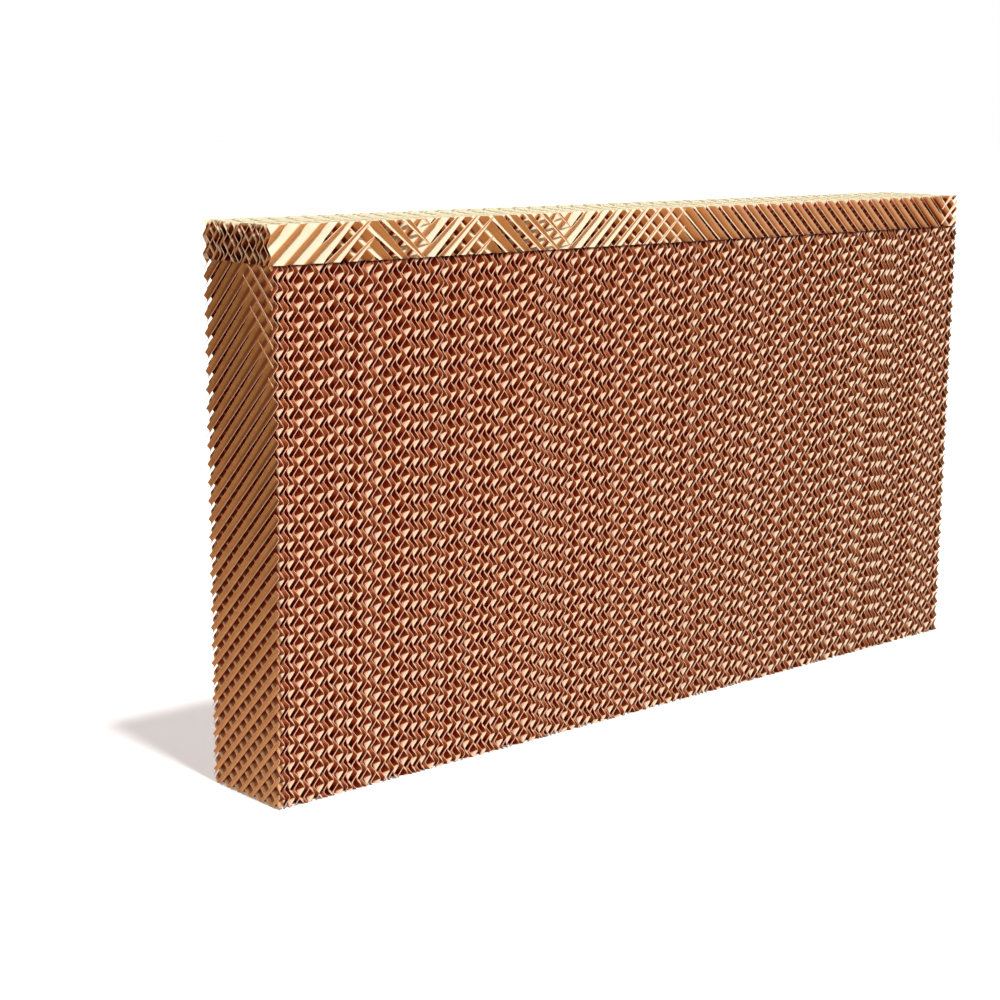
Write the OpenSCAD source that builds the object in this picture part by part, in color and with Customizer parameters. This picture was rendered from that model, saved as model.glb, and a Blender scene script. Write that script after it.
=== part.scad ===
// Evaporative cooling pad: a block of cross-fluted kraft paper sheets that stands on its long edge,
// with a low distribution pad of the same paper lying along its top.
// +X runs along the pad, +Y from the front face to the back face, and Z = 0 is the floor.

/* [Main pad] */
// Length of the pad, along the stack of sheets
pad_length = 1400; // [600:10:2000]
// Depth of the pad, from the front face to the back face
pad_depth = 150; // [80:5:300]
// Height of the main pad
pad_height = 700; // [300:10:1500]

/* [Distribution pad] */
// Height of the distribution pad that lies on the main pad
top_height = 50; // [25:5:100]
// Distance from crest to crest of its flutes, measured square to them
top_flute_pitch = 18.6; // [10:0.2:30]
// Rise of its flutes above the horizontal
top_flute_angle = 41.5; // [20:0.5:70]

/* [Fluted paper] */
// Height of one flute, which is the room that one sheet takes in the stack
flute_height = 7.8; // [5:0.1:12]
// Distance from crest to crest of the main pad's flutes, measured square to them
flute_pitch = 17.2; // [10:0.2:30]
// Rise of the main pad's flutes above the horizontal
flute_angle = 45; // [20:1:70]
// Thickness of the stiffened paper
paper = 0.3; // [0.2:0.05:0.8]
// Glue line between the crests of neighbouring sheets
glue_line = 0.3; // [0.1:0.05:0.6]

/* [Inner sheets of the main pad] */
// Sheets drawn with their flutes at each end of the main pad
end_sheets = 6; // [2:2:12]
// Thickness of the rib that stands for the edge of an inner sheet
edge_rib = 2; // [1:0.25:4]
// Depth of the gaps between those ribs, from the front and back faces
gap_depth = 12; // [4:1:30]

/* [Hidden] */

// Each stack has an odd number of sheets, so that both its outer sheets lean the same way
function sheet_count(room) = 2 * round((room / flute_height - 1) / 2) + 1;
function sheet_body(room) = (room - (sheet_count(room) - 1) * glue_line) / sheet_count(room);
function sheet_place(room, i) = -room / 2 + sheet_body(room) / 2 + i * (sheet_body(room) + glue_line);

// The sheets are stacked as they come, so each one's flutes start at another part of a pitch
golden = (sqrt(5) - 1) / 2;
function flute_start(i, pitch) = (i * golden - floor(i * golden)) * pitch;

main_count = sheet_count(pad_length);
main_room = sheet_body(pad_length) + glue_line;
top_count = sheet_count(pad_depth);
core_length = pad_length - 2 * end_sheets * main_room;
core_count = main_count - 2 * end_sheets;

// One side of the folded profile: fold k lies k half pitches along, turn about left and right
function fold(k, pitch, half_height, shift) = [
    (k % 2 == 0 ? half_height : -half_height) + shift,
    k * pitch / 2
];

// A fluted sheet stands on the floor, across X. Its flutes rise towards -Y, or towards +Y if turn is -1
module fluted_sheet(body, width, height, pitch, angle, turn, start) {
    flank = atan(2 * body / pitch);
    wall = paper / cos(flank);
    half_height = (body - wall) / 2;
    reach = width + height;
    folds = 2 * ceil(reach / pitch);
    intersection() {
        translate([-body, -width / 2, 0])
            cube([2 * body, width, height]);
        translate([0, 0, height / 2])
            rotate([turn * (90 - angle), 0, 0])
                translate([0, start, 0])
                    linear_extrude(reach, center = true)
                        polygon(concat(
                            [for (k = [-folds : folds]) fold(k, pitch, half_height, wall / 2)],
                            [for (k = [folds : -1 : -folds]) fold(k, pitch, half_height, -wall / 2)]
                        ));
    }
}

// The sheets of the main pad that show their flutes, from first on, every second one
module main_sheets(first, turn) {
    for (i = [first : 2 : main_count - 1])
        if (i < end_sheets || i >= main_count - end_sheets)
            translate([sheet_place(pad_length, i), 0, 0])
                fluted_sheet(sheet_body(pad_length), pad_depth, pad_height, flute_pitch, flute_angle,
                    turn, flute_start(i, flute_pitch));
}

module main_pad_rising_sheets() {
    color("#c08a55") main_sheets(0, 1);
}

module main_pad_falling_sheets() {
    color("#b07a48") main_sheets(1, -1);
}

// One half of the core's plan: a rib at the edge of each inner sheet, with the gaps cut between the ribs
function rib_corners(i) = let (x = (i - (core_count - 1) / 2) * main_room) [
    [x - edge_rib / 2, gap_depth - pad_depth / 2],
    [x - edge_rib / 2, -pad_depth / 2],
    [x + edge_rib / 2, -pad_depth / 2],
    [x + edge_rib / 2, gap_depth - pad_depth / 2]
];
front_ribs = [for (i = [0 : core_count - 1]) each rib_corners(i)];

// The inner sheets as one block, which carries the outer sheets at both ends
module main_pad_core() {
    side = core_length / 2 - glue_line / 2;
    foot = gap_depth - pad_depth / 2;
    half_plan = concat([[-side, foot]], front_ribs, [[side, foot]]);
    color("#a06a3c")
        linear_extrude(pad_height)
            polygon(concat(half_plan, [for (p = half_plan) -p]));
}

// The distribution pad's sheets stand along the pad and are stacked from front to back
module top_sheets(first, turn) {
    for (i = [first : 2 : top_count - 1])
        translate([0, sheet_place(pad_depth, i), pad_height])
            rotate([0, 0, 90])
                fluted_sheet(sheet_body(pad_depth), pad_length, top_height, top_flute_pitch, top_flute_angle,
                    turn, flute_start(i, top_flute_pitch));
}

module distribution_pad_rising_sheets() {
    color("#e0bd8c") top_sheets(0, 1);
}

module distribution_pad_falling_sheets() {
    color("#d2aa76") top_sheets(1, -1);
}

main_pad_core();
main_pad_rising_sheets();
main_pad_falling_sheets();
distribution_pad_rising_sheets();
distribution_pad_falling_sheets();
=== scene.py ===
import bmesh
import bpy
import math
import random
from mathutils import Euler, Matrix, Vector
from types import SimpleNamespace


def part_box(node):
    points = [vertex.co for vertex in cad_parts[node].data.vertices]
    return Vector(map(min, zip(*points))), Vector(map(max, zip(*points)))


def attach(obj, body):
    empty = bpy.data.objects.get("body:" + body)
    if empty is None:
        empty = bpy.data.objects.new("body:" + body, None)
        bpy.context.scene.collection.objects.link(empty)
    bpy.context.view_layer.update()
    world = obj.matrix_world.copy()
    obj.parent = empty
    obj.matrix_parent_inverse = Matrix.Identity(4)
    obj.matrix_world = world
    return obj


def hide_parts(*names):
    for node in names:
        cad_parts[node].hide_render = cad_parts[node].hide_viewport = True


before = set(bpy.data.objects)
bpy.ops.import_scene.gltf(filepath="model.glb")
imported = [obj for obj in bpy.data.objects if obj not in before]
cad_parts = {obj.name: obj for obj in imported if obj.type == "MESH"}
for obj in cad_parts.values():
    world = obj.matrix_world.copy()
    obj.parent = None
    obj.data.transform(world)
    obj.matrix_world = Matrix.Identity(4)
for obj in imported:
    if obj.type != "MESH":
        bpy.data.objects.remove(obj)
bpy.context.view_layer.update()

# Camera: it stands off the near end of the pad, a little above its top, and looks along the front
# face. The eight corners of the pad that show in the photograph fix its place and its lens.
camera_data = bpy.data.cameras.new("camera")
camera_data.sensor_width = 36
camera_data.lens = 72.285
camera = bpy.data.objects.new("camera", camera_data)
camera.location = (-2.1275, -2.0991, 0.9059)
camera_turns = (78.638, -0.449, -41.636)
camera.rotation_euler = Euler([math.radians(turn) for turn in camera_turns])
bpy.context.scene.collection.objects.link(camera)
bpy.context.scene.camera = camera
bpy.context.scene.view_settings.view_transform = "Standard"


# Floor: a plain pale studio floor that takes the pad's shadow. The camera sees it white, and the
# light that it throws back on the pad is that of a darker, warm floor.
class Shade:
    """A node tree and one output in it. Formulas of such outputs become Math nodes."""

    def __init__(self, tree, socket=None):
        self.tree = tree
        self.socket = socket

    def node(self, kind, settings, values, output=None):
        made = self.tree.nodes.new(kind)
        for name, setting in settings.items():
            setattr(made, name, setting)
        for name, value in values.items():
            if isinstance(name, int):
                target = made.inputs[name]
            else:
                target = next(s for s in made.inputs if s.enabled and s.name == name)
            if isinstance(value, Shade):
                self.tree.links.new(value.socket, target)
            else:
                target.default_value = value
        shown = [s for s in made.outputs if s.enabled and output in (None, s.name)]
        return Shade(self.tree, shown[0] if shown else None)

    def math(self, operation, first, second):
        return self.node("ShaderNodeMath", {"operation": operation}, {0: first, 1: second})

    def __add__(self, other):
        return self.math("ADD", self, other)

    def __sub__(self, other):
        return self.math("SUBTRACT", self, other)

    def __rsub__(self, other):
        return self.math("SUBTRACT", other, self)

    def __mul__(self, other):
        return self.math("MULTIPLY", self, other)

    def __abs__(self):
        return self.math("ABSOLUTE", self, 0.0)

    __radd__ = __add__
    __rmul__ = __mul__

    def rise(self, low, high):
        """0 up to low, 1 from high on, and smooth between."""
        return self.node(
            "ShaderNodeMapRange",
            {"interpolation_type": "SMOOTHSTEP"},
            {"Value": self, "From Min": low, "From Max": high},
        )

    def mix(self, first, second):
        """A colour that goes from first to second as this value goes from 0 to 1."""
        values = {"Factor": self, "A": first, "B": second}
        return self.node("ShaderNodeMix", {"data_type": "RGBA"}, values)


def empty_tree(owner):
    """The node tree of a material or a world, with nothing in it yet."""
    owner.use_nodes = True
    owner.node_tree.nodes.clear()
    return Shade(owner.node_tree)


floor_reach = 30
floor_bm = bmesh.new()
bmesh.ops.create_grid(floor_bm, x_segments=1, y_segments=1, size=floor_reach)
floor_mesh = bpy.data.meshes.new("floor")
floor_bm.to_mesh(floor_mesh)
floor_bm.free()
floor = bpy.data.objects.new("floor", floor_mesh)
bpy.context.scene.collection.objects.link(floor)

floor_paper = bpy.data.materials.new("floor_paper")
floor_mesh.materials.append(floor_paper)
tree = empty_tree(floor_paper)
seen = tree.node("ShaderNodeLightPath", {}, {}, "Is Camera Ray")
white = tree.node("ShaderNodeBsdfDiffuse", {}, {"Color": (0.88, 0.88, 0.88, 1)})
glow = tree.node("ShaderNodeEmission", {}, {"Color": (1, 1, 1, 1), "Strength": 0.2})
pale = tree.node("ShaderNodeAddShader", {}, {0: white, 1: glow})
bounced = tree.node("ShaderNodeBsdfDiffuse", {}, {"Color": (0.34, 0.21, 0.12, 1)})
both = tree.node("ShaderNodeMixShader", {}, {0: seen, 1: bounced, 2: pale})
tree.node("ShaderNodeOutputMaterial", {}, {"Surface": both})


# Light: a strong lamp high in front of the pad, a weak one low in front of its far end, one high
# behind it, soft lamps level with both its ends, and a low warm fill. The camera sees a white sky.
def studio_lamp(name, strength, towards, spread):
    """A distant lamp in the direction towards, spread over some degrees of the sky."""
    lamp = bpy.data.lights.new(name, "SUN")
    lamp.energy = strength
    lamp.angle = math.radians(spread)
    lamp_object = bpy.data.objects.new(name, lamp)
    lamp_object.rotation_euler = Vector(towards).to_track_quat("Z", "Y").to_euler()
    bpy.context.scene.collection.objects.link(lamp_object)


studio_lamp("front_lamp", strength=3.4, towards=(0.0, -0.41, 0.912), spread=7)
studio_lamp("front_side_lamp", strength=1.0, towards=(0.62, -0.78, 0.05), spread=20)
studio_lamp("back_lamp", strength=1.6, towards=(0.1, 0.85, 0.5), spread=20)
studio_lamp("near_end_lamp", strength=2.5, towards=(-1.0, 0.1, 0.0), spread=60)
studio_lamp("far_end_lamp", strength=2.5, towards=(1.0, 0.1, 0.0), spread=60)

fill = 0.08
fill_colour = (1, 0.6, 0.38, 1)
world = bpy.data.worlds.new("studio")
bpy.context.scene.world = world
tree = empty_tree(world)
seen = tree.node("ShaderNodeLightPath", {}, {}, "Is Camera Ray")
tree.node("ShaderNodeOutputWorld", {}, {
    "Surface": tree.node("ShaderNodeBackground", {}, {
        "Color": seen.mix(fill_colour, (1, 1, 1, 1)),
        "Strength": seen * (1 - fill) + fill,
    }),
})


# Main pad: about 179 sheets of resin-stiffened kraft paper, stacked along the pad. Every other
# sheet's flutes rise to the front at 45 degrees, the rest fall. Crests are glued, faces are sawn.
pad_low, pad_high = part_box("main_pad_core")
end_low, end_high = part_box("main_pad_rising_sheets")
pad_low.x, pad_high.x = end_low.x, end_high.x
sheet_room = 0.00782
flute_rise = 0.02432
paper_thickness = 0.0007
crest_profile = ((-0.09, 0.86), (-0.03, 1.0), (0.03, 1.0), (0.09, 0.86))
flute_profile = crest_profile + tuple((share + 0.5, -height) for share, height in crest_profile)
spare_flutes = 3
stack_random = random.Random(7)


def new_stack():
    """An empty stack of sheets. Its points hold their sheet's tone and their place on the wave."""
    bm = bmesh.new()
    bm.verts.layers.float.new("tone")
    bm.verts.layers.float.new("wave")
    return bm


def add_sheet(bm, long_side, short_side, spacing, slope, start, place):
    """Adds a fluted sheet. Its flutes cross the short side, and slope along the long side."""
    tones = bm.verts.layers.float["tone"]
    waves = bm.verts.layers.float["wave"]
    width = short_side[1] - short_side[0]
    lean = abs(slope) * width
    tone = stack_random.random()
    before = math.ceil(lean / spacing) if slope > 0 else 0
    flutes = math.ceil((long_side[1] - long_side[0] + lean) / spacing) + spare_flutes
    first = long_side[0] - (before + start + 0.5) * spacing
    columns = flutes * len(flute_profile)
    grid = bmesh.ops.create_grid(bm, x_segments=columns, y_segments=2, size=0.5)
    for vert in grid["verts"]:
        flute, fold = divmod(round((vert.co.x + 0.5) * columns), len(flute_profile))
        share, height = flute_profile[fold]
        across = (vert.co.y + 0.5) * width
        along = first + (flute + share) * spacing + slope * across
        vert.co = place(along, short_side[0] + across, height)
        vert[tones] = tone
        vert[waves] = height


def saw(bm, low, high):
    """Cuts off what stands outside the sawn faces of a stack."""
    for corner, way in ((low, -1), (high, 1)):
        for axis in range(3):
            outward = [0, 0, 0]
            outward[axis] = way
            everything = bm.verts[:] + bm.edges[:] + bm.faces[:]
            bmesh.ops.bisect_plane(
                bm, geom=everything, dist=1e-7, plane_co=corner, plane_no=outward, clear_outer=True
            )


def stack_object(name, bm, materials):
    """Makes a piece of a sawn stack: smooth flutes, sharp cut edges, paper thickness."""
    for face in bm.faces:
        face.smooth = True
    for edge in bm.edges:
        edge.smooth = not edge.is_boundary
    mesh = bpy.data.meshes.new(name)
    bm.to_mesh(mesh)
    bm.free()
    for material in materials:
        mesh.materials.append(material)
    piece = bpy.data.objects.new(name, mesh)
    bpy.context.scene.collection.objects.link(piece)
    paper = piece.modifiers.new("paper", "SOLIDIFY")
    paper.thickness = paper_thickness
    paper.offset = 0
    paper.material_offset_rim = 1
    flanks = piece.modifiers.new("flat_flanks", "WEIGHTED_NORMAL")
    flanks.keep_sharp = True
    return piece


def paper_patterns(name):
    """A new paper material, with the place, the facing and the fibre patterns of its points."""
    material = bpy.data.materials.new(name)
    tree = empty_tree(material)
    where = tree.node("ShaderNodeTexCoord", {}, {}, "Object")
    facing = tree.node("ShaderNodeNewGeometry", {}, {}, "Normal")

    def along(axis, vector):
        return tree.node("ShaderNodeSeparateXYZ", {}, {"Vector": vector}, axis)

    def stored(layer):
        return tree.node("ShaderNodeAttribute", {"attribute_name": layer}, {}, "Fac")

    def noise(scale, detail):
        values = {"Vector": where, "Scale": scale, "Detail": detail}
        return tree.node("ShaderNodeTexNoise", {}, values, "Fac")

    cloud = noise(scale=45.0, detail=3.0)
    blotch = noise(scale=190.0, detail=2.0)
    fibre = noise(scale=900.0, detail=2.0)
    return SimpleNamespace(
        material=material,
        tree=tree,
        x=along("X", where),
        y=along("Y", where),
        z=along("Z", where),
        facing_x=along("X", facing),
        facing_up=along("Z", facing),
        wave=stored("wave"),
        blotch=blotch,
        fibre=fibre,
        mottle=stored("tone") * 0.3 + (cloud + blotch + fibre) * 0.5 - 0.4,
    )


def finish_paper(p, colour, gloss):
    """Puts the colour on a fibrous sheet, which reflects more or less by its gloss."""
    relief = {"Strength": 0.25, "Distance": 0.0003, "Height": p.fibre}
    sheet = p.tree.node("ShaderNodeBsdfPrincipled", {}, {
        "Base Color": colour,
        "Roughness": p.fibre * 0.15 + 0.42,
        "Specular IOR Level": gloss,
        "Normal": p.tree.node("ShaderNodeBump", {}, relief),
    })
    p.tree.node("ShaderNodeOutputMaterial", {}, {"Surface": sheet})
    return p.material


# where the main pad's colours change: metres in from its ends, top and faces, then along its length
second_sheet_depths = (0.003, 0.0055)
flute_depths = (0.006, 0.009)
top_shadow_depths = (0.001, 0.005)
pore_depths = (0.0, 0.010)
far_stretch = (-0.4, 0.6)

# the end faces are kraft brown, with painted floor light that leaves them darker towards the top,
# and painted shade between the flutes of the outer sheet
painted_floor_light_slope = 1.1
painted_floor_light_start = 0.45
second_sheet_shade = 0.85
p = paper_patterns("main_pad_paper")
from_end = pad_high.x - abs(p.x)
mottle_and_floor_light = p.mottle + p.z * painted_floor_light_slope - painted_floor_light_start
kraft = mottle_and_floor_light.mix((0.83, 0.46, 0.20, 1), (0.385, 0.178, 0.047, 1))
painted_second_sheet_shade = from_end.rise(*second_sheet_depths) * second_sheet_shade
end_paper = painted_second_sheet_shade.mix(kraft, (0.19, 0.062, 0.017, 1))

# painted light: the lower flanks of the flutes are cream where light gets in, which tapers off with
# depth as the painted shadow of the flute above sets in
cream_start = 0.95
cream_taper = 270
cream_border = (-0.2, 0.2)
lit_facing = (-0.2, 0.4)
blotch_border = (0.35, 0.65)
from_face = pad_high.y - abs(p.y)
tints = p.blotch.rise(*blotch_border).mix((1.0, 0.86, 0.73, 1), (1.0, 0.93, 0.62, 1))
cream = p.mottle.mix(tints, (0.97, 0.75, 0.48, 1))
lower = (p.wave * p.facing_x - from_face * cream_taper + cream_start).rise(*cream_border)
lit = p.facing_up.rise(*lit_facing) * lower

# painted shade: the other flanks are rust, a little browner at the far end, and dark red deep in
# the pores, with a nearly black painted shadow under the distribution pad
pore_shade = 0.92
far_part = p.x.rise(*far_stretch)
near_rust_shade = p.mottle.mix((0.82, 0.31, 0.115, 1), (0.60, 0.18, 0.06, 1))
far_rust_shade = p.mottle.mix((0.66, 0.23, 0.062, 1), (0.46, 0.12, 0.028, 1))
flank = lit.mix(far_part.mix(near_rust_shade, far_rust_shade), cream)
dark_red = far_part.mix((0.53, 0.06, 0.013, 1), (0.39, 0.052, 0.010, 1))
pore = (from_face.rise(*pore_depths) * pore_shade).mix(flank, dark_red)
under_top = 1 - (pad_high.z - p.z).rise(*top_shadow_depths)
shadowed = under_top.mix(pore, (0.14, 0.022, 0.007, 1))
main_colour = from_end.rise(*flute_depths).mix(end_paper, shadowed)
main_paper = finish_paper(p, main_colour, gloss=0.5)

# the cut edges are pale, except in the shadow under the distribution pad
edge_shade = 0.9
p = paper_patterns("main_pad_cut_edge")
edge = p.mottle.mix((1.0, 0.75, 0.56, 1), (1.0, 0.57, 0.39, 1))
under_top = 1 - (pad_high.z - p.z).rise(*top_shadow_depths)
edge_colour = (under_top * edge_shade).mix(edge, (0.16, 0.03, 0.01, 1))
main_edge = finish_paper(p, edge_colour, gloss=0.2)

sheet_count = round((pad_high.x - pad_low.x) / sheet_room)
room = (pad_high.x - pad_low.x) / sheet_count

# how many sheets deep the saw went in at an end: foot at the back, foot at the front, then the top
near_cut = (0.65, 0.85, 0.30, -0.25)
far_cut = (-0.35, -0.05, -0.75, -0.45)


def cut_depth(corners, front, up):
    """How many sheets deep the saw went in at one place on an end; the stack had settled askew."""
    foot_back, foot_front, top_back, top_front = corners
    foot = foot_back + (foot_front - foot_back) * front
    top = top_back + (top_front - top_back) * front
    return foot + (top - foot) * up


def main_place(index):
    """Where the points of one sheet of the main pad stand."""
    share = index / (sheet_count - 1)

    def place(up, depth, wave):
        front = (pad_high.y - depth) / (pad_high.y - pad_low.y)
        height = (up - pad_low.z) / (pad_high.z - pad_low.z)
        bow = (1 - share) * cut_depth(near_cut, front, height)
        bow += share * cut_depth(far_cut, front, height)
        return (pad_low.x + room * (index + 0.5 + wave / 2 - bow), depth, up)

    return place


# the flutes of a pair of sheets start nearly together, and the pairs drift along the stack
pair_drift = 0.5
least_lag = -0.1
most_lag = 0.25
starts = []
drift = 0.0
for pair in range(sheet_count // 2 + 2):
    drift += stack_random.uniform(-pair_drift, pair_drift)
    starts += [drift, drift + stack_random.uniform(least_lag, most_lag)]

middle = sheet_count // 2
halves = {"near": range(-1, middle), "far": range(middle, sheet_count + 1)}
for slope, lean in ((1, "falling"), (-1, "rising")):
    for half, indices in halves.items():
        bm = new_stack()
        for index in indices:
            if (index % 2 == 0) == (lean == "rising"):
                add_sheet(bm, (pad_low.z, pad_high.z), (pad_low.y, pad_high.y), flute_rise, slope,
                          starts[index + 1] % 1, main_place(index))
        saw(bm, pad_low, pad_high)
        piece = stack_object(f"main_pad_{lean}_sheets_{half}_half", bm, (main_paper, main_edge))
        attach(piece, "root")
        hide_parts("main_pad_core", f"main_pad_{lean}_sheets")


# Distribution pad: about 19 sheets of the same paper on edge along the main pad, stacked from front
# to back. The stack was bowed when it was sawn, so its front face runs through several sheets.
top_low, top_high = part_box("distribution_pad_rising_sheets")
top_count = round((top_high.y - top_low.y) / sheet_room)
top_room = (top_high.y - top_low.y) / top_count
deepest_bow = 5.38
bow_start = 0.08
bow_reach = 0.98
bow_power = 2.4
end_lift = 150
lift_power = 5
flute_run = 0.0272
outer_stretch = 0.0036
stretched_sheets = 5
flute_slope = 1.15
front_starts = (0.39, 0.50, 0.07, 0.69, 0.11, 0.34)

# where its colours change: along its length, then metres in from its faces, top and ends
far_stretch = (-0.2, 0.3)
crest_highlight_depths = (0.001, 0.0035)
inside_depths = (0.0075, 0.0105)
far_inside_shift = 0.004
darkest_depths = (0.011, 0.019)
top_light_depths = (0.001, 0.004)
shade_depths = (0.0015, 0.006)
end_depths = (0.001, 0.0025)

# painted light and shade: the front is cream where it faces up to the light, dimmer ivory on the
# sheets further in, and brown below; a painted highlight makes the far crests paler, and painted
# light from above falls on the inner sheets just under the top
lit_facing = (0.0, 0.35)
p = paper_patterns("distribution_pad_paper")
from_face = top_high.y - abs(p.y)
from_top = top_high.z - p.z
from_end = top_high.x - abs(p.x)
far_part = p.x.rise(*far_stretch)
near_brown = p.mottle.mix((0.90, 0.46, 0.19, 1), (0.67, 0.33, 0.125, 1))
far_brown = p.mottle.mix((0.92, 0.42, 0.18, 1), (0.70, 0.29, 0.115, 1))
painted_crest_highlight = far_part * (1 - from_face.rise(*crest_highlight_depths))
shade_and_crest_highlight = painted_crest_highlight.mix(far_part.mix(near_brown, far_brown), (1.0, 0.70, 0.46, 1))
cream = p.mottle.mix((0.93, 0.88, 0.68, 1), (0.88, 0.76, 0.53, 1))
ivory = p.mottle.mix((0.79, 0.74, 0.53, 1), (0.72, 0.62, 0.41, 1))
inside = (from_face + far_part * far_inside_shift).rise(*inside_depths)
sunlit = p.facing_up.rise(*lit_facing)
painted_top_light = inside * (1 - from_top.rise(*top_light_depths))
outer = sunlit.math("MAXIMUM", sunlit, painted_top_light).mix(shade_and_crest_highlight, inside.mix(cream, ivory))

# painted shade: inside, below its top and off its ends, it is maroon and then darker
maroon = p.mottle.mix((0.34, 0.045, 0.010, 1), (0.22, 0.022, 0.005, 1))
painted_deep_shade = from_face.rise(*darkest_depths).mix(maroon, (0.19, 0.038, 0.012, 1))
enclosed = inside * from_top.rise(*shade_depths) * from_end.rise(*end_depths)
top_paper = finish_paper(p, enclosed.mix(outer, painted_deep_shade), gloss=0.04)

# the cut edges are pale on the faces, warmer on the ends and ivory on the top
square_facing = (0.5, 0.9)
p = paper_patterns("distribution_pad_cut_edge")
side_cut = p.mottle.mix((1.0, 0.84, 0.62, 1), (0.94, 0.68, 0.44, 1))
top_cut = p.mottle.mix((0.82, 0.79, 0.58, 1), (0.76, 0.68, 0.46, 1))
end_cut = p.mottle.mix((1.0, 0.74, 0.54, 1), (1.0, 0.62, 0.40, 1))
upright_cut = abs(p.facing_x).rise(*square_facing).mix(side_cut, end_cut)
edge_colour = p.facing_up.rise(*square_facing).mix(upright_cut, top_cut)
top_edge = finish_paper(p, edge_colour, gloss=0.2)


def top_place(index):
    """Where the points of one sheet of the distribution pad stand."""
    def place(along, up, wave):
        share = max(0, (along - top_low.x - bow_start) / bow_reach)
        bow = deepest_bow * (1 - max(0, 1 - share) ** bow_power)
        bow -= end_lift * max(0, share - 1) ** lift_power
        return (along, top_low.y + top_room * (index + 0.5 + wave / 2 - bow), up)

    return place


for slope, lean in ((1, "rising"), (-1, "falling")):
    bm = new_stack()
    for index in range(top_count + math.ceil(deepest_bow)):
        if (index % 2 == 0) == (lean == "rising"):
            spacing = flute_run + outer_stretch * max(0, 1 - index / stretched_sheets)
            start = front_starts[index] if index < len(front_starts) else stack_random.random()
            add_sheet(bm, (top_low.x, top_high.x), (top_low.z, top_high.z), spacing,
                      slope * flute_slope, start, top_place(index))
    saw(bm, top_low, top_high)
    piece = stack_object(f"distribution_pad_{lean}_sheets", bm, (top_paper, top_edge))
    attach(piece, "root")
    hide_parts(f"distribution_pad_{lean}_sheets")
